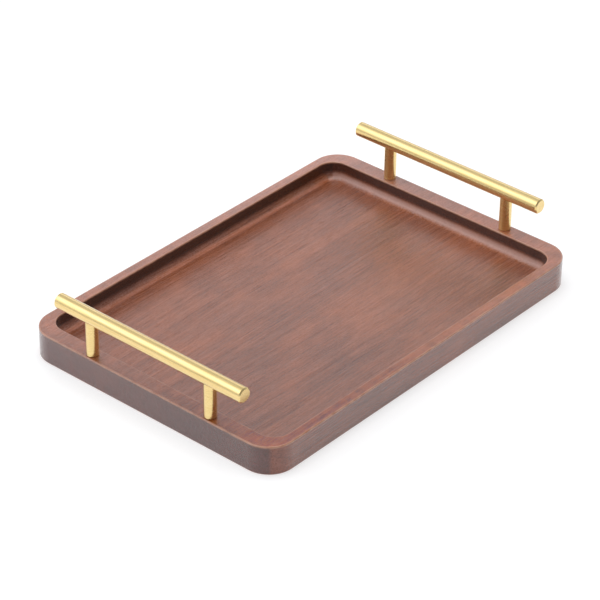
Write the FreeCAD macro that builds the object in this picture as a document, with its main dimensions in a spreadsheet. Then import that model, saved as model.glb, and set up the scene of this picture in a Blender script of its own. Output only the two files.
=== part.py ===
"""Wooden serving tray with two brass T-bar handles.

One board with a milled well, two round bars, four posts that carry them, four studs that join the
posts to the bars, and four screws that hold the posts to the board from below.

Frame: X along the tray's length, Y across it, Z up, with the origin at the centre of the underside.
Millimetres.
"""
import FreeCAD, Part
import math
import os
import Sketcher

# Driving dimensions: alias, value in millimetres, and what it is.
DIMENSIONS = [
    ("tray_length", 290.0, "outside length of the board, along X"),
    ("tray_width", 200.0, "outside width of the board, along Y"),
    ("tray_height", 20.0, "thickness of the board at its rim"),
    ("outer_corner", 18.0, "radius of the outer corners in plan"),
    ("end_rim", 11.5, "width of the rim at the two handle ends"),
    ("side_rim", 7.0, "width of the rim along the two long sides"),
    ("inner_corner", 12.0, "radius of the well's corners in plan"),
    ("well_depth", 12.0, "depth of the well below the rim"),
    ("cove", 6.0, "radius between the well's wall and its floor"),
    ("rim_ease", 0.7, "rounding of the rim's two top edges"),
    ("base_ease", 1.0, "rounding of the underside's outer edge"),
    ("bar_diameter", 10.0, "diameter of a handle bar"),
    ("bar_length", 150.0, "length of a handle bar"),
    ("bar_chamfer", 0.8, "chamfer on each end of a bar"),
    ("bar_height", 47.0, "height of the bars' axes above the underside"),
    ("handle_inset", 5.0, "from the board's end to the axis of the bar and its posts"),
    ("post_diameter", 8.0, "diameter of a post"),
    ("post_spacing", 96.0, "distance between the two posts of a handle"),
    ("post_chamfer", 0.4, "chamfer around a post's foot"),
    ("thread_diameter", 4.0, "outside diameter of the studs and screws"),
    ("thread_chamfer", 0.5, "chamfer on the ends of the studs and screws"),
    ("tapped_diameter", 4.1, "diameter of a tapped hole, drawn plain"),
    ("foot_hole_depth", 10.5, "depth of the tapped hole in a post's foot"),
    ("stud_hole_depth", 6.0, "depth of the tapped hole for a stud, in the post and in the bar"),
    ("stud_length", 10.0, "length of a stud"),
    ("stud_socket", 2.0, "hexagon socket in a stud, across its flats"),
    ("screw_clearance", 4.5, "clearance hole for a screw in the board"),
    ("counterbore_diameter", 7.5, "diameter of a counterbore in the underside"),
    ("counterbore_depth", 4.0, "depth of a counterbore"),
    ("screw_length", 25.0, "length of a screw under its head"),
    ("screw_head_diameter", 7.0, "diameter of a screw's head"),
    ("screw_head_height", 2.8, "height of a screw's head"),
    ("screw_head_chamfer", 0.3, "chamfer around a screw's head"),
    ("screw_socket", 2.5, "hexagon socket in a screw's head, across its flats"),
    ("socket_depth", 2.0, "depth of the hexagon sockets"),
]
SIZE = {alias: value for alias, value, meaning in DIMENSIONS}

# Where the repeated pieces stand: the handle ends along X, and a handle's two posts along Y.
HANDLES = {
    "left": "-(Dims.tray_length / 2 - Dims.handle_inset)",
    "right": "Dims.tray_length / 2 - Dims.handle_inset",
}
POSTS = {
    "front": "-Dims.post_spacing / 2",
    "rear": "Dims.post_spacing / 2",
}

ORIGIN_POINT = (-1, 1)
X_AXIS = -1
Y_AXIS = -2
START, END, CENTRE = 1, 2, 3
TOLERANCE = 1e-6

doc = FreeCAD.newDocument("ServingTray")
sheet = doc.addObject("Spreadsheet::Sheet", "Dims")
for row, (alias, value, meaning) in enumerate(DIMENSIONS, start=1):
    sheet.set(f"A{row}", meaning)
    sheet.set(f"B{row}", str(value))
    sheet.setAlias(f"B{row}", alias)
doc.recompute()


def new_body(label, x="0", y="0", z="0"):
    """A body whose own origin stands at (x, y, z), each an expression of the sheet's cells."""
    body = doc.addObject("PartDesign::Body", label)
    body.Label = label
    body.setExpression("Placement.Base.x", x)
    body.setExpression("Placement.Base.y", y)
    body.setExpression("Placement.Base.z", z)
    return body


def attach(feature, body, plane, height):
    """Put a sketch or primitive on one of its body's origin planes, lifted along the plane's normal."""
    face = next(item for item in body.Origin.OriginFeatures if item.Role == plane)
    feature.AttachmentSupport = [(face, "")]
    feature.MapMode = "FlatFace"
    feature.setExpression("AttachmentOffset.Base.z", height)


def new_sketch(body, name, plane="XY_Plane", height="0"):
    sketch = body.newObject("Sketcher::SketchObject", f"{body.Label}_{name}")
    attach(sketch, body, plane, height)
    return sketch


def constrain(sketch, kind, *references):
    return sketch.addConstraint(Sketcher.Constraint(kind, *references))


def dimension(sketch, kind, *references, size):
    """A dimension held to an expression of the sheet's cells."""
    number = constrain(sketch, kind, *references, 1.0)
    sketch.setExpression(f"Constraints[{number}]", size)


def add_circle(sketch, diameter, x=None, y=None):
    """A circle of the given diameter, centred on the origin unless x or y says how far from it."""
    centre = FreeCAD.Vector(1.0 if x else 0.0, 1.0 if y else 0.0, 0.0)
    circle = sketch.addGeometry(Part.Circle(centre, FreeCAD.Vector(0, 0, 1), 1.0), False)
    dimension(sketch, "Diameter", circle, size=diameter)
    if x:
        dimension(sketch, "DistanceX", *ORIGIN_POINT, circle, CENTRE, size=x)
    else:
        constrain(sketch, "PointOnObject", circle, CENTRE, Y_AXIS)
    if y:
        dimension(sketch, "DistanceY", *ORIGIN_POINT, circle, CENTRE, size=y)
    else:
        constrain(sketch, "PointOnObject", circle, CENTRE, X_AXIS)
    return circle


def add_mirror_circle(sketch, source, *mirror):
    """The same circle again, on the other side of an axis or of the origin."""
    circle = sketch.addGeometry(Part.Circle(FreeCAD.Vector(), FreeCAD.Vector(0, 0, 1), 1.0), False)
    constrain(sketch, "Equal", source, circle)
    constrain(sketch, "Symmetric", source, CENTRE, circle, CENTRE, *mirror)


def add_rounded_rectangle(sketch, length, width, radius):
    """A rectangle about the origin with rounded corners. The solver starts from a rough one."""
    start_x, start_y, start_radius = 100.0, 80.0, 10.0
    quarter_turn = math.pi / 2
    corners = []
    for turn, (sign_x, sign_y) in enumerate([(1, 1), (-1, 1), (-1, -1), (1, -1)]):
        middle = FreeCAD.Vector(sign_x * start_x, sign_y * start_y, 0)
        ring = Part.Circle(middle, FreeCAD.Vector(0, 0, 1), start_radius)
        arc = Part.ArcOfCircle(ring, turn * quarter_turn, (turn + 1) * quarter_turn)
        corners.append(sketch.addGeometry(arc, False))
    sides = []
    for corner, following in zip(corners, corners[1:] + corners[:1]):
        begin = sketch.getPoint(corner, END)
        finish = sketch.getPoint(following, START)
        side = sketch.addGeometry(Part.LineSegment(begin, finish), False)
        constrain(sketch, "Tangent", corner, END, side, START)
        constrain(sketch, "Tangent", side, END, following, START)
        sides.append(side)
    for side, kind in zip(sides, ["Horizontal", "Vertical", "Horizontal", "Vertical"]):
        constrain(sketch, kind, side)
    for corner in corners[1:]:
        constrain(sketch, "Equal", corners[0], corner)
    constrain(sketch, "Symmetric", corners[0], CENTRE, corners[2], CENTRE, *ORIGIN_POINT)
    dimension(sketch, "Radius", corners[0], size=radius)
    dimension(sketch, "DistanceX", sides[1], START, sides[3], START, size=length)
    dimension(sketch, "DistanceY", sides[2], START, sides[0], START, size=width)


def add_pad(body, name, sketch, length, reverse=False, both_ways=False):
    pad = body.newObject("PartDesign::Pad", f"{body.Label}_{name}")
    pad.Profile = sketch
    pad.setExpression("Length", length)
    pad.Reversed = reverse
    pad.SideType = "Symmetric" if both_ways else "One side"
    doc.recompute()
    return pad


def add_pocket(body, name, sketch, depth, reverse=False, both_ways=False):
    """Cut against the sketch's normal, along it when reversed, or half the depth each way."""
    pocket = body.newObject("PartDesign::Pocket", f"{body.Label}_{name}")
    pocket.Profile = sketch
    pocket.setExpression("Length", depth)
    pocket.Reversed = reverse
    pocket.SideType = "Symmetric" if both_ways else "One side"
    doc.recompute()
    return pocket


def edges_at_height(shape, height):
    """The names of the edges that lie wholly at one height in the body's own frame."""
    names = []
    for number, edge in enumerate(shape.Edges, start=1):
        box = edge.BoundBox
        if abs(box.ZMin - height) < TOLERANCE and abs(box.ZMax - height) < TOLERANCE:
            names.append(f"Edge{number}")
    return names


def circular_edges_at(shape, axis, place, radius):
    """The names of the full circles of one radius that stand square to an axis at one place."""
    names = []
    for number, edge in enumerate(shape.Edges, start=1):
        curve = edge.Curve
        if not isinstance(curve, Part.Circle) or abs(curve.Radius - radius) > TOLERANCE:
            continue
        is_square = abs(abs(curve.Axis.dot(axis)) - 1) < TOLERANCE
        if is_square and abs(curve.Center.dot(axis) - place) < TOLERANCE:
            names.append(f"Edge{number}")
    return names


def ease(body, kind, name, base, edges, size):
    """A Fillet or a Chamfer on named edges of the feature before it."""
    feature = body.newObject(f"PartDesign::{kind}", f"{body.Label}_{name}")
    feature.Base = (base, edges)
    feature.setExpression("Radius" if kind == "Fillet" else "Size", size)
    doc.recompute()
    return feature


def add_hexagon_socket(body, across_flats, height):
    """A hexagon socket sunk from a flat end, whose height is given, towards +Z."""
    socket = body.newObject("PartDesign::SubtractivePrism", f"{body.Label}_socket")
    attach(socket, body, "XY_Plane", height)
    socket.Polygon = 6
    socket.setExpression("Circumradius", f"{across_flats} / (2 * cos(30 deg))")
    socket.setExpression("Height", "Dims.socket_depth")
    doc.recompute()


def make_tray_board():
    """A solid board, milled to a well with a coved floor, with counterbored holes in its ends."""
    body = new_body("tray_board")
    outline = new_sketch(body, "outline")
    add_rounded_rectangle(outline, "Dims.tray_length", "Dims.tray_width", "Dims.outer_corner")
    blank = add_pad(body, "blank", outline, "Dims.tray_height")

    well_outline = new_sketch(body, "well_outline", height="Dims.tray_height")
    well_length = "Dims.tray_length - 2 * Dims.end_rim"
    well_width = "Dims.tray_width - 2 * Dims.side_rim"
    add_rounded_rectangle(well_outline, well_length, well_width, "Dims.inner_corner")
    well = add_pocket(body, "well", well_outline, "Dims.well_depth")

    floor_edges = edges_at_height(well.Shape, SIZE["tray_height"] - SIZE["well_depth"])
    coved = ease(body, "Fillet", "cove", well, floor_edges, "Dims.cove")
    rim_edges = edges_at_height(coved.Shape, SIZE["tray_height"])
    eased_rim = ease(body, "Fillet", "rim_ease", coved, rim_edges, "Dims.rim_ease")
    base_edges = edges_at_height(eased_rim.Shape, 0.0)
    ease(body, "Fillet", "base_ease", eased_rim, base_edges, "Dims.base_ease")

    centres = new_sketch(body, "screw_centres")
    first = add_circle(
        centres, "Dims.screw_clearance", "Dims.tray_length / 2 - Dims.handle_inset", "Dims.post_spacing / 2"
    )
    for mirror in [(X_AXIS,), (Y_AXIS,), ORIGIN_POINT]:
        add_mirror_circle(centres, first, *mirror)
    doc.recompute()
    holes = body.newObject("PartDesign::Hole", f"{body.Label}_screw_holes")
    holes.Profile = centres
    holes.Reversed = True
    holes.DepthType = "ThroughAll"
    holes.HoleCutType = "Counterbore"
    holes.HoleCutCustomValues = True
    holes.setExpression("Diameter", "Dims.screw_clearance")
    holes.setExpression("HoleCutDiameter", "Dims.counterbore_diameter")
    holes.setExpression("HoleCutDepth", "Dims.counterbore_depth")
    doc.recompute()
    return body


def make_handle_bar(label, x):
    """A round bar along Y, with chamfered ends and two tapped holes in its underside."""
    body = new_body(label, x=x, z="Dims.bar_height")
    section = new_sketch(body, "section", plane="XZ_Plane")
    add_circle(section, "Dims.bar_diameter")
    rod = add_pad(body, "rod", section, "Dims.bar_length", both_ways=True)

    ends = []
    for place in (-SIZE["bar_length"] / 2, SIZE["bar_length"] / 2):
        ends += circular_edges_at(rod.Shape, FreeCAD.Vector(0, 1, 0), place, SIZE["bar_diameter"] / 2)
    ease(body, "Chamfer", "end_chamfers", rod, ends, "Dims.bar_chamfer")

    centres = new_sketch(body, "stud_centres", height="-Dims.bar_diameter / 2")
    first = add_circle(centres, "Dims.tapped_diameter", y="Dims.post_spacing / 2")
    add_mirror_circle(centres, first, X_AXIS)
    add_pocket(body, "stud_holes", centres, "Dims.stud_hole_depth", reverse=True)
    return body


def make_post(label, x, y):
    """A round post on the rim: its top is coped to the bar and it is tapped at both ends."""
    body = new_body(label, x=x, y=y, z="Dims.tray_height")
    bar_rise = "Dims.bar_height - Dims.tray_height"
    section = new_sketch(body, "section")
    add_circle(section, "Dims.post_diameter")
    shank = add_pad(body, "shank", section, bar_rise)
    foot = circular_edges_at(shank.Shape, FreeCAD.Vector(0, 0, 1), 0.0, SIZE["post_diameter"] / 2)
    ease(body, "Chamfer", "foot_chamfer", shank, foot, "Dims.post_chamfer")

    bar_section = new_sketch(body, "bar_section", plane="XZ_Plane")
    add_circle(bar_section, "Dims.bar_diameter", y=bar_rise)
    add_pocket(body, "saddle", bar_section, "2 * Dims.post_diameter", both_ways=True)

    foot_centre = new_sketch(body, "foot_centre")
    add_circle(foot_centre, "Dims.tapped_diameter")
    add_pocket(body, "foot_hole", foot_centre, "Dims.foot_hole_depth", reverse=True)
    stud_centre = new_sketch(body, "stud_centre", height=bar_rise)
    add_circle(stud_centre, "Dims.tapped_diameter")
    add_pocket(body, "stud_hole", stud_centre, "Dims.bar_diameter / 2 + Dims.stud_hole_depth")
    return body


def make_stud(label, x, y):
    """A headless screw, half in the post's top and half in the bar."""
    body = new_body(label, x=x, y=y, z="Dims.bar_height - Dims.bar_diameter / 2 - Dims.stud_length / 2")
    section = new_sketch(body, "section")
    add_circle(section, "Dims.thread_diameter")
    shank = add_pad(body, "shank", section, "Dims.stud_length")
    ends = []
    for place in (0.0, SIZE["stud_length"]):
        ends += circular_edges_at(shank.Shape, FreeCAD.Vector(0, 0, 1), place, SIZE["thread_diameter"] / 2)
    ease(body, "Chamfer", "end_chamfers", shank, ends, "Dims.thread_chamfer")
    add_hexagon_socket(body, "Dims.stud_socket", "0")
    return body


def make_tray_screw(label, x, y):
    """A low-headed screw that points up: its own origin is under its head, on the counterbore's floor."""
    body = new_body(label, x=x, y=y, z="Dims.counterbore_depth")
    head_section = new_sketch(body, "head_section")
    add_circle(head_section, "Dims.screw_head_diameter")
    head = add_pad(body, "head", head_section, "Dims.screw_head_height", reverse=True)
    head_edge = circular_edges_at(
        head.Shape, FreeCAD.Vector(0, 0, 1), -SIZE["screw_head_height"], SIZE["screw_head_diameter"] / 2
    )
    ease(body, "Chamfer", "head_chamfer", head, head_edge, "Dims.screw_head_chamfer")

    shank_section = new_sketch(body, "shank_section")
    add_circle(shank_section, "Dims.thread_diameter")
    shank = add_pad(body, "shank", shank_section, "Dims.screw_length")
    tip = circular_edges_at(
        shank.Shape, FreeCAD.Vector(0, 0, 1), SIZE["screw_length"], SIZE["thread_diameter"] / 2
    )
    ease(body, "Chamfer", "tip_chamfer", shank, tip, "Dims.thread_chamfer")
    add_hexagon_socket(body, "Dims.screw_socket", "-Dims.screw_head_height")
    return body


def check_document():
    """Stop if any object failed, or if a cut or an eased edge took nothing away."""
    for item in doc.Objects:
        if "Invalid" in item.State or "Error" in item.State:
            raise RuntimeError(f"{item.Label} did not compute: {item.State}")
        base = getattr(item, "BaseFeature", None)
        if base and not item.isDerivedFrom("PartDesign::Pad"):
            removed = base.Shape.Volume - item.Shape.Volume
            is_cove = item.Label.endswith("_cove")
            if (removed < TOLERANCE) != is_cove:
                raise RuntimeError(f"{item.Label} changed the volume by {-removed:.4f}")


parts = [make_tray_board()]
for side, place_x in HANDLES.items():
    parts.append(make_handle_bar(f"{side}_handle_bar", place_x))
    for end, place_y in POSTS.items():
        parts.append(make_post(f"{side}_{end}_post", place_x, place_y))
        parts.append(make_stud(f"{side}_{end}_stud", place_x, place_y))
        parts.append(make_tray_screw(f"{side}_{end}_screw", place_x, place_y))

doc.recompute()
check_document()
for part in parts:
    if part.Shape.isNull() or not part.Shape.isValid() or len(part.Shape.Solids) != 1:
        raise RuntimeError(f"{part.Label} is not one valid solid")

os.makedirs("parts", exist_ok=True)
for part in parts:
    part.Shape.exportStep(f"parts/{part.Label}.step")
    box = part.Shape.BoundBox
    print(f"{part.Label}: {part.Shape.Volume:.1f} mm3, z {box.ZMin:.2f} to {box.ZMax:.2f}")
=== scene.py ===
"""A walnut-brown serving tray with two brushed brass bar handles, on a pale studio floor.

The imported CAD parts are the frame. Their shapes stay as they are; this script gives each one its
material and sets up the floor, the light and the camera. Metres, +Z up, X along the tray.
"""
import math

import bpy
from mathutils import Matrix, Vector


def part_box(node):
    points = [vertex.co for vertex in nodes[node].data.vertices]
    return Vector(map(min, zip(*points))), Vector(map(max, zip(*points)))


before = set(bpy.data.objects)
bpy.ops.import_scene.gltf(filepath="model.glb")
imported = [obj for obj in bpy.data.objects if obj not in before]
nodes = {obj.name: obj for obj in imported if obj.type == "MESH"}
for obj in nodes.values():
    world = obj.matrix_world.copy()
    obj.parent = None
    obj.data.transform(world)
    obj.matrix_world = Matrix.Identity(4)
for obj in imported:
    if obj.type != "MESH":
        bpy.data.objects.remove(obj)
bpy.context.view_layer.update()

board_low, board_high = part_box("tray_board")

# The tray board's own shape, which the edge wear and the painted edge highlight follow.
END_RIM = 0.0115
SIDE_RIM = 0.007
OUTER_CORNER = 0.018
INNER_CORNER = 0.012

# Wood stain with its painted shade, painted reflections and painted highlights, brass, zinc and floor, as
# linear colours.
WOOD_RED = (0.298, 0.078, 0.022, 1.0)
WOOD_BROWN = (0.197, 0.056, 0.024, 1.0)
# Pale edge colour: partly real wear, partly a painted highlight on the rounded rim edges.
WOOD_WORN_AND_HIGHLIGHT = (0.520, 0.260, 0.160, 1.0)
# Painted highlight on the end coves, where the key light's reflection falls.
WOOD_COVE_HIGHLIGHT = (0.500, 0.260, 0.195, 1.0)
# Outer sides: painted shade and a painted cool reflection of the floor, bluest at the ends, where the end
# grain is also darker.
SIDE_SHADE_AND_REFLECTION = (0.850, 0.680, 0.660, 1.0)
END_SHADE_AND_REFLECTION = (0.420, 0.390, 0.850, 1.0)
# Inner walls: painted shade in the well, darkest on the long walls.
WALL_SHADE = (0.095, 0.050, 0.035, 1.0)
END_WALL_SHADE = (0.220, 0.165, 0.170, 1.0)
BRASS_PALE = (0.930, 0.715, 0.335, 1.0)
BRASS_DEEP = (0.800, 0.580, 0.220, 1.0)
ZINC_PALE = (0.560, 0.570, 0.590, 1.0)
ZINC_GREY = (0.450, 0.460, 0.470, 1.0)
FLOOR_WHITE = (0.480, 0.480, 0.475, 1.0)
FLOOR_GREY = (0.460, 0.460, 0.460, 1.0)

# The wood's noises: scale on each axis per metre, detail and roughness. The first set lies square
# to the board, and the second is the grain, which drifts sideways along X.
WOOD_PATCHES = {
    "clouds": ((9.0, 20.0, 20.0), 2.0, 0.5),
    "blotches": ((45.0, 75.0, 75.0), 3.0, 0.6),
    "mottle": ((130.0, 110.0, 110.0), 3.0, 0.6),
    "grit": ((800.0, 1000.0, 1000.0), 3.0, 0.65),
}
WOOD_GRAIN = {
    "bands": ((3.0, 150.0, 150.0), 2.0, 0.5),
    "streaks": ((5.0, 520.0, 520.0), 3.0, 0.5),
    "lines": ((14.0, 1500.0, 1500.0), 2.0, 0.5),
    "flecks": ((180.0, 900.0, 900.0), 2.0, 0.5),
    "fibres": ((70.0, 3600.0, 3600.0), 2.0, 0.6),
    "pores": ((150.0, 4300.0, 4300.0), 1.0, 0.5),
}
GRAIN_DRIFT = 0.010
HEART_OFFSET = (0.0, 0.033, 0.11)

# How much each noise warms the hue, lightens the stain, adds a painted sheen to the colour, raises the
# surface, and lightens the rim's top.
WARMTH = {"clouds": 0.9, "blotches": 0.40, "bands": 0.2}
DEPTH = {
    "rings": 0.05, "clouds": 0.35, "blotches": 0.40, "bands": 0.22, "streaks": 0.45, "lines": 0.60,
    "flecks": 0.20, "fibres": 0.80, "grit": 0.60,
}
GRAIN_SHEEN = {"grit": 0.10, "lines": 0.07, "fibres": 0.09, "streaks": 0.03}
RELIEF = {"streaks": 20.0, "lines": 14.0, "flecks": 6.0, "fibres": 9.0, "grit": 18.0, "pores": -4.0}
RIM_MOTTLE = {"mottle": 1.2}
RELIEF_HEIGHT = 0.00001
PORE_DEPTH = -0.25

# Painted light: the board is painted paler toward its rear, its rim's top paler overall and toward the
# right end, and the rim's top carries a painted sheen that grows toward the rear and the right end.
# Slopes are per metre from the middle.
LIGHT_TOWARD_REAR = 1.0
RIM_TOP_LIGHT = 0.31
RIM_LIGHT_ALONG = 0.6
RIM_SHEEN = 0.020
RIM_SHEEN_ALONG = 0.20
RIM_SHEEN_ACROSS = 0.38

# How far the rim's edges are paled, partly as real wear and partly as a painted highlight on their
# rounding, and how far the painted highlight on the end coves covers the stain.
INNER_WEAR_AND_HIGHLIGHT = 0.85
OUTER_WEAR_AND_HIGHLIGHT = 0.80
COVE_HIGHLIGHT = 0.60

# Bands on the well's cove, from how upright the surface's normal is, and how far toward the flat the
# painted shade on upright faces reaches. Each pair is the value along the sides, then the value at the
# ends.
FOOT_FROM = (0.70, 0.25)
FOOT_FULL = (0.90, 0.60)
FOOT_DEPTH = (0.60, 0.14)
UPRIGHT_SHADE_UNTIL = (0.68, 0.42)

# Brushed brass: the marks' scale on each axis, the axis that the tangent goes round, the
# roughness, how far the highlight spreads, and the turn of that spread.
BAR_BRUSHING = {
    "stretch": (1000.0, 35.0, 1000.0), "axis": "Y", "roughness": 0.20, "spread": 0.5, "turn": 0.0,
}
POST_BRUSHING = {
    "stretch": (90.0, 90.0, 1300.0), "axis": "Z", "roughness": 0.24, "spread": 0.6, "turn": 0.25,
}
FINE_MARKS = 3.1

# The studio: which way each light lies, how bright it is, and where it fades. The key's edge is a
# cosine, the glow's foot and top are heights on a unit sphere, and each pair is a smooth step.
SKY_TINT = (0.97, 0.985, 1.03, 1.0)
BEHIND = (0.35, 0.94, 0.0)
ROOM_FADE = (-0.6, 0.3)
ROOM_FRONT = 0.35
ROOM_BACK = 0.68
KEY_DIRECTION = (-0.457, 0.547, 0.700)
KEY_EDGE = 0.79
KEY_LEVEL = 1.45
GLOW_DIRECTION = (0.757, 0.653, 0.0)
GLOW_FOOT = (0.25, 0.42)
GLOW_TOP = (0.48, 0.57)
GLOW_SIDES = (0.3, 0.8)
GLOW_LEVEL = 0.80
BACKDROP_LEVEL = 1.1
FLOOR_SIZE = 12.0
FLOOR_GAP = 0.0001
FLOOR_GLOW = 0.60
LAMP_HEIGHT = 1.5
LAMP_SIZE = 0.7
LAMP_POWER = 8.0

# The camera: angles in degrees, distances in metres, lens and sensor in millimetres.
VIEW_AZIMUTH = 49.219
VIEW_ELEVATION = 33.110
VIEW_ROLL = 0.610
VIEW_DISTANCE = 1.7496
VIEW_TARGET = (-0.0005, 0.0045, 0.0100)
LENS = 167.77
SENSOR_WIDTH = 36.0
FAR_CLIP = 50.0


class Graph:
    """Builds one node tree. Most methods add a node and return the socket that it makes."""

    def __init__(self, tree):
        self.tree = tree
        tree.nodes.clear()

    def feed(self, node, inputs):
        """Link a node's inputs to sockets, or set them to plain values."""
        for name, value in inputs.items():
            if isinstance(value, bpy.types.NodeSocket):
                self.tree.links.new(value, node.inputs[name])
            else:
                node.inputs[name].default_value = value

    def add(self, kind, inputs=None, **settings):
        """Add a node, and return the node itself."""
        node = self.tree.nodes.new(kind)
        for name, value in settings.items():
            setattr(node, name, value)
        self.feed(node, inputs or {})
        return node

    def mapped(self, vector, **inputs):
        return self.add("ShaderNodeMapping", {"Vector": vector, **inputs}).outputs["Vector"]

    def position(self, scale=(1.0, 1.0, 1.0)):
        """The object's own coordinates, times a scale for each axis."""
        source = self.add("ShaderNodeTexCoord").outputs["Object"]
        return self.mapped(source, Scale=scale)

    def noise(self, vector, detail=2.0, roughness=0.5):
        inputs = {"Vector": vector, "Scale": 1.0, "Detail": detail, "Roughness": roughness}
        return self.add("ShaderNodeTexNoise", inputs).outputs["Fac"]

    def math(self, operation, first, second=0.0, third=0.0):
        inputs = {0: first, 1: second, 2: third}
        return self.add("ShaderNodeMath", inputs, operation=operation).outputs[0]

    def product(self, first, *others):
        for other in others:
            first = self.math("MULTIPLY", first, other)
        return first

    def line(self, value, slope, level):
        """A straight line: the value times a slope, plus a level."""
        return self.math("MULTIPLY_ADD", value, slope, level)

    def between(self, factor, pair):
        """The first number of a pair where the factor is 0, and the second where it is 1."""
        first, second = pair
        return self.line(factor, second - first, first)

    def step(self, value, low, high, to_low=0.0, to_high=1.0):
        """A smooth step from one level to another as the value goes from low to high."""
        node = self.add(
            "ShaderNodeMapRange",
            {"Value": value, "From Min": low, "From Max": high, "To Min": to_low, "To Max": to_high},
            interpolation_type="SMOOTHSTEP",
        )
        return node.outputs["Result"]

    def mix(self, factor, first, second, blend="MIX"):
        inputs = {"Fac": factor, "Color1": first, "Color2": second}
        return self.add("ShaderNodeMixRGB", inputs, blend_type=blend).outputs["Color"]

    def total(self, layers, weights):
        """The sum of the named layers, each about its middle value of one half, times its weight."""
        result = 0.0
        for name, weight in weights.items():
            centred = self.math("SUBTRACT", layers[name], 0.5)
            result = self.math("MULTIPLY_ADD", centred, weight, result)
        return result

    def split(self, vector):
        parts = self.add("ShaderNodeSeparateXYZ", {"Vector": vector}).outputs
        return parts["X"], parts["Y"], parts["Z"]

    def bump(self, height, strength):
        inputs = {"Height": height, "Distance": RELIEF_HEIGHT, "Strength": strength}
        return self.add("ShaderNodeBump", inputs).outputs["Normal"]


def new_material(name):
    material = bpy.data.materials.new(name)
    material.use_nodes = True
    graph = Graph(material.node_tree)
    shader = graph.add("ShaderNodeBsdfPrincipled")
    graph.add("ShaderNodeOutputMaterial", {"Surface": shader.outputs["BSDF"]})
    return material, graph, shader


def rim_edge(graph, half_length, half_width, corner):
    """How far a point lies outside a rectangle with round corners, centred on the tray."""
    x, y, _ = graph.split(graph.position())
    past_x = graph.math("SUBTRACT", graph.math("ABSOLUTE", x), half_length - corner)
    past_y = graph.math("SUBTRACT", graph.math("ABSOLUTE", y), half_width - corner)
    out_x = graph.math("MAXIMUM", past_x, 0.0)
    out_y = graph.math("MAXIMUM", past_y, 0.0)
    squares = graph.math("MULTIPLY_ADD", out_x, out_x, graph.math("MULTIPLY", out_y, out_y))
    round_part = graph.math("SQRT", squares)
    straight_part = graph.math("MINIMUM", graph.math("MAXIMUM", past_x, past_y), 0.0)
    return graph.math("SUBTRACT", graph.math("ADD", round_part, straight_part), corner)


def edge_wear_and_highlight(graph, inner, outer, height):
    """The inner and outer edges of the rim, paled partly as real rubbed wear and partly as a painted
    highlight on their rounding.
    """
    near_top = graph.step(height, board_high.z - 0.0016, board_high.z - 0.0004)
    inner_line = graph.step(graph.math("ABSOLUTE", inner), 0.0003, 0.0011, to_low=INNER_WEAR_AND_HIGHLIGHT, to_high=0.0)
    outer_line = graph.step(graph.math("ABSOLUTE", outer), 0.0003, 0.0014, to_low=OUTER_WEAR_AND_HIGHLIGHT, to_high=0.0)
    patches = graph.noise(graph.position((160.0, 160.0, 160.0)), detail=3.0)
    patchy = graph.step(patches, 0.30, 0.62, to_low=0.45, to_high=1.0)
    return graph.product(graph.math("MAXIMUM", inner_line, outer_line), near_top, patchy)


def wood_layers(graph, place):
    """Every noise in the wood, by name, and the growth rings, whose heart is outside the board."""
    layers = {}
    for name, (scale, detail, roughness) in WOOD_PATCHES.items():
        layers[name] = graph.noise(graph.position(scale), detail, roughness)

    drift = graph.noise(graph.position((5.0, 9.0, 9.0)), detail=1.0)
    sideways = graph.math("MULTIPLY", drift, GRAIN_DRIFT)
    bend = graph.add("ShaderNodeCombineXYZ", {"Y": sideways}).outputs[0]
    bent = graph.add("ShaderNodeVectorMath", {0: place, 1: bend}, operation="ADD").outputs[0]
    for name, (scale, detail, roughness) in WOOD_GRAIN.items():
        layers[name] = graph.noise(graph.mapped(bent, Scale=scale), detail, roughness)
    layers["pores"] = graph.step(layers["pores"], 0.66, 0.76)

    heart = graph.mapped(bent, Location=HEART_OFFSET)
    layers["rings"] = graph.add(
        "ShaderNodeTexWave",
        {"Vector": heart, "Scale": 42.0, "Distortion": 2.2, "Detail": 2.0, "Detail Scale": 0.6},
        wave_type="RINGS", rings_direction="X", wave_profile="SAW",
    ).outputs["Fac"]
    return layers


def wood_facing(graph):
    """How upright a surface's normal is, and whether it faces the ends (1) or the sides (0)."""
    normal = graph.add("ShaderNodeNewGeometry").outputs["Normal"]
    x, y, z = (graph.math("ABSOLUTE", part) for part in graph.split(normal))
    endways = graph.step(graph.math("SUBTRACT", x, y), -0.10, 0.15)
    return z, endways


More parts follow.
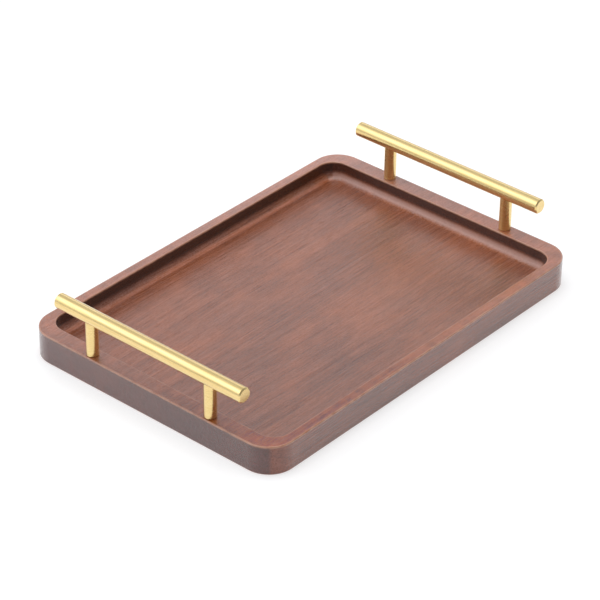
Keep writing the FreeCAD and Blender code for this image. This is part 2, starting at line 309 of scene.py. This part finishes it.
def wood_stain(graph, layers, place):
    """The colour: stain and painted sheen by the grain, the cove's bands, painted light paler toward the
    rear and on the rim, a painted highlight on the end coves, painted shade on the inner walls, painted
    shade and a painted cool reflection on the outer sides, and the wear with a painted edge highlight.
    """
    length, width, height = graph.split(place)
    upright, endways = wood_facing(graph)
    rim_top = graph.step(height, board_high.z - 0.0012, board_high.z - 0.0003)
    inner = rim_edge(graph, board_high.x - END_RIM, board_high.y - SIDE_RIM, INNER_CORNER)
    outer = rim_edge(graph, board_high.x, board_high.y, OUTER_CORNER)

    warmth = graph.step(graph.total(layers, WARMTH), -0.45, 0.45)
    stain = graph.mix(warmth, WOOD_BROWN, WOOD_RED)

    depth = graph.math("ADD", graph.total(layers, DEPTH), 1.0)
    depth = graph.line(layers["pores"], PORE_DEPTH, depth)
    # Painted light: the rim's top is painted paler overall and toward the right end, on top of its real
    # mottling.
    rim_mottle_and_light = graph.line(length, RIM_LIGHT_ALONG, graph.total(layers, RIM_MOTTLE))
    depth = graph.line(rim_top, graph.math("ADD", rim_mottle_and_light, RIM_TOP_LIGHT), depth)
    foot = graph.step(upright, graph.between(endways, FOOT_FROM), graph.between(endways, FOOT_FULL))
    off_floor = graph.step(upright, 0.999, 0.97)
    foot_depth = graph.product(foot, off_floor, graph.between(endways, FOOT_DEPTH))
    # Painted light: the whole board is painted paler toward its rear; the cove's foot band is added here
    # too.
    depth = graph.math("ADD", depth, graph.line(width, LIGHT_TOWARD_REAR, foot_depth))
    stain = graph.mix(1.0, stain, depth, blend="MULTIPLY")

    # Painted sheen: a neutral lift that follows the grain's noises, and a painted sheen on the rim's top
    # that grows toward the rear and the right end.
    rim_painted_sheen = graph.line(width, RIM_SHEEN_ACROSS, graph.line(length, RIM_SHEEN_ALONG, RIM_SHEEN))
    painted_sheen = graph.line(rim_painted_sheen, rim_top, graph.total(layers, GRAIN_SHEEN))
    stain = graph.mix(1.0, stain, painted_sheen, blend="ADD")

    # Painted highlight: a pale band on the end coves, where the key light's reflection falls.
    cove = graph.product(graph.step(upright, 0.10, 0.55), graph.step(upright, 0.95, 0.72))
    stain = graph.mix(graph.product(cove, endways, COVE_HIGHLIGHT), stain, WOOD_COVE_HIGHLIGHT)

    # Painted shade on the inner walls, and painted shade with a painted cool reflection on the outer
    # sides, laid over the upright faces.
    walls = graph.mix(endways, WALL_SHADE, END_WALL_SHADE)
    sides = graph.mix(endways, SIDE_SHADE_AND_REFLECTION, END_SHADE_AND_REFLECTION)
    tint = graph.mix(graph.step(inner, 0.001, 0.004), walls, sides)
    flat_from = graph.between(endways, UPRIGHT_SHADE_UNTIL)
    upright_shade = graph.step(upright, 0.0, flat_from, to_low=0.95, to_high=0.0)
    stain = graph.mix(upright_shade, stain, tint, blend="MULTIPLY")
    # Pale rim edges: partly real rubbed wear, partly a painted highlight on their rounding.
    return graph.mix(edge_wear_and_highlight(graph, inner, outer, height), stain, WOOD_WORN_AND_HIGHLIGHT)


def make_wood():
    """Stained, satin-lacquered wood. The grain runs along X and goes right through the solid."""
    material, graph, shader = new_material("walnut_satin")
    place = graph.position()
    layers = wood_layers(graph, place)
    smudge = graph.noise(graph.position((35.0, 45.0, 45.0)), detail=3.0, roughness=0.6)
    normal = graph.bump(graph.total(layers, RELIEF), strength=1.0)
    graph.feed(shader, {
        "Base Color": wood_stain(graph, layers, place),
        "Roughness": graph.line(smudge, 0.10, 0.17),
        "IOR": 1.48,
        "Normal": normal,
        "Coat Weight": 1.0,
        "Coat Roughness": 0.16,
        "Coat IOR": 1.5,
        "Coat Normal": normal,
    })
    return material


def make_brass(name, stretch, axis, roughness, spread, turn):
    """Brushed brass: fine marks stretched on one axis, and a highlight spread to go with them."""
    material, graph, shader = new_material(name)
    marks = graph.noise(graph.position(stretch), detail=3.0, roughness=0.65)
    fine_stretch = tuple(FINE_MARKS * value for value in stretch)
    fine = graph.noise(graph.position(fine_stretch), detail=2.0, roughness=0.6)
    cloud = graph.noise(graph.position((60.0, 60.0, 60.0)), detail=3.0)
    brushed = graph.line(fine, 0.45, graph.math("MULTIPLY", marks, 0.55))
    tangent = graph.add("ShaderNodeTangent", direction_type="RADIAL", axis=axis).outputs["Tangent"]
    graph.feed(shader, {
        "Base Color": graph.mix(graph.step(brushed, 0.30, 0.72), BRASS_DEEP, BRASS_PALE),
        "Roughness": graph.line(cloud, 0.08, roughness),
        "Normal": graph.bump(brushed, strength=0.5),
        "Tangent": tangent,
        "Metallic": 1.0,
        "Anisotropic": spread,
        "Anisotropic Rotation": turn,
        "Coat Weight": 0.6,
        "Coat Roughness": 0.12,
    })
    return material


def make_zinc():
    """Bright zinc plate on the screws and studs, a little cloudy."""
    material, graph, shader = new_material("zinc_plate")
    cloud = graph.noise(graph.position((500.0, 500.0, 500.0)), detail=4.0, roughness=0.6)
    graph.feed(shader, {
        "Base Color": graph.mix(graph.step(cloud, 0.3, 0.7), ZINC_GREY, ZINC_PALE),
        "Roughness": graph.line(cloud, 0.25, 0.18),
        "Metallic": 1.0,
    })
    return material


def dress(endings, material):
    """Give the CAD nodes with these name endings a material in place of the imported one."""
    for name, node in nodes.items():
        if name.endswith(endings):
            for slot in node.material_slots:
                slot.material = material


def make_floor():
    """A plain pale floor that glows a little, so that shadows on it stay faint."""
    bpy.ops.mesh.primitive_plane_add(size=FLOOR_SIZE, location=(0.0, 0.0, board_low.z - FLOOR_GAP))
    floor = bpy.context.object
    floor.name = "floor"
    material, graph, shader = new_material("pale_floor")
    shade = graph.noise(graph.position((3.0, 3.0, 3.0)), detail=2.0)
    graph.feed(shader, {
        "Base Color": graph.mix(shade, FLOOR_WHITE, FLOOR_GREY),
        "Roughness": 0.7,
        "Emission Color": (1.0, 1.0, 1.0, 1.0),
        "Emission Strength": FLOOR_GLOW,
    })
    floor.data.materials.append(material)


def make_sky():
    """Soft studio light all round for the tray, and a plain white backdrop for the camera.

    The room is dimmer in front. The key, a big diffuser, is high up behind on the left, and the
    glow lies low behind on the right.
    """
    world = bpy.data.worlds.new("studio")
    bpy.context.scene.world = world
    world.use_nodes = True
    graph = Graph(world.node_tree)
    direction = graph.add("ShaderNodeTexCoord").outputs["Generated"]

    def along(axis):
        inputs = {0: direction, 1: Vector(axis).normalized()}
        return graph.add("ShaderNodeVectorMath", inputs, operation="DOT_PRODUCT").outputs["Value"]

    room = graph.step(along(BEHIND), *ROOM_FADE, to_low=ROOM_FRONT, to_high=ROOM_BACK)
    lobe = {"Value": along(KEY_DIRECTION), "From Min": KEY_EDGE}
    key = graph.add("ShaderNodeMapRange", lobe).outputs["Result"]
    rise = graph.split(direction)[2]
    below_top = graph.step(rise, *GLOW_TOP, to_low=GLOW_LEVEL, to_high=0.0)
    sides = graph.step(along(GLOW_DIRECTION), *GLOW_SIDES)
    glow = graph.product(below_top, graph.step(rise, *GLOW_FOOT), sides)
    level = graph.line(graph.math("POWER", key, 2.0), KEY_LEVEL, graph.math("ADD", room, glow))

    light = graph.add("ShaderNodeBackground", {"Color": SKY_TINT, "Strength": level})
    white = {"Color": (1.0, 1.0, 1.0, 1.0), "Strength": BACKDROP_LEVEL}
    backdrop = graph.add("ShaderNodeBackground", white)
    seen = graph.add("ShaderNodeLightPath").outputs["Is Camera Ray"]
    choice = graph.add("ShaderNodeMixShader", {0: seen, 1: light.outputs[0], 2: backdrop.outputs[0]})
    graph.add("ShaderNodeOutputWorld", {"Surface": choice.outputs[0]})


def make_lamp():
    """A square softbox straight above the tray."""
    light = bpy.data.lights.new("overhead", "AREA")
    light.shape = "SQUARE"
    light.size = LAMP_SIZE
    light.energy = LAMP_POWER
    lamp = bpy.data.objects.new("overhead", light)
    lamp.location = (0.0, 0.0, LAMP_HEIGHT)
    bpy.context.scene.collection.objects.link(lamp)


def make_camera():
    """A long lens that looks down on the tray from beyond its near left corner."""
    azimuth = math.radians(VIEW_AZIMUTH)
    elevation = math.radians(VIEW_ELEVATION)
    view = Vector((
        math.sin(azimuth) * math.cos(elevation),
        math.cos(azimuth) * math.cos(elevation),
        -math.sin(elevation),
    ))
    data = bpy.data.cameras.new("camera")
    data.lens = LENS
    data.sensor_width = SENSOR_WIDTH
    data.clip_end = FAR_CLIP
    camera = bpy.data.objects.new("camera", data)
    roll = Matrix.Rotation(math.radians(VIEW_ROLL), 4, "Z")
    turn = view.to_track_quat("-Z", "Y").to_matrix().to_4x4() @ roll
    camera.matrix_world = Matrix.Translation(Vector(VIEW_TARGET) - view * VIEW_DISTANCE) @ turn
    bpy.context.scene.collection.objects.link(camera)
    bpy.context.scene.camera = camera


dress("tray_board", make_wood())
dress("_handle_bar", make_brass("brass_bar", **BAR_BRUSHING))
dress("_post", make_brass("brass_post", **POST_BRUSHING))
dress(("_screw", "_stud"), make_zinc())

make_floor()
make_sky()
make_lamp()
make_camera()
bpy.context.scene.view_settings.view_transform = "Standard"
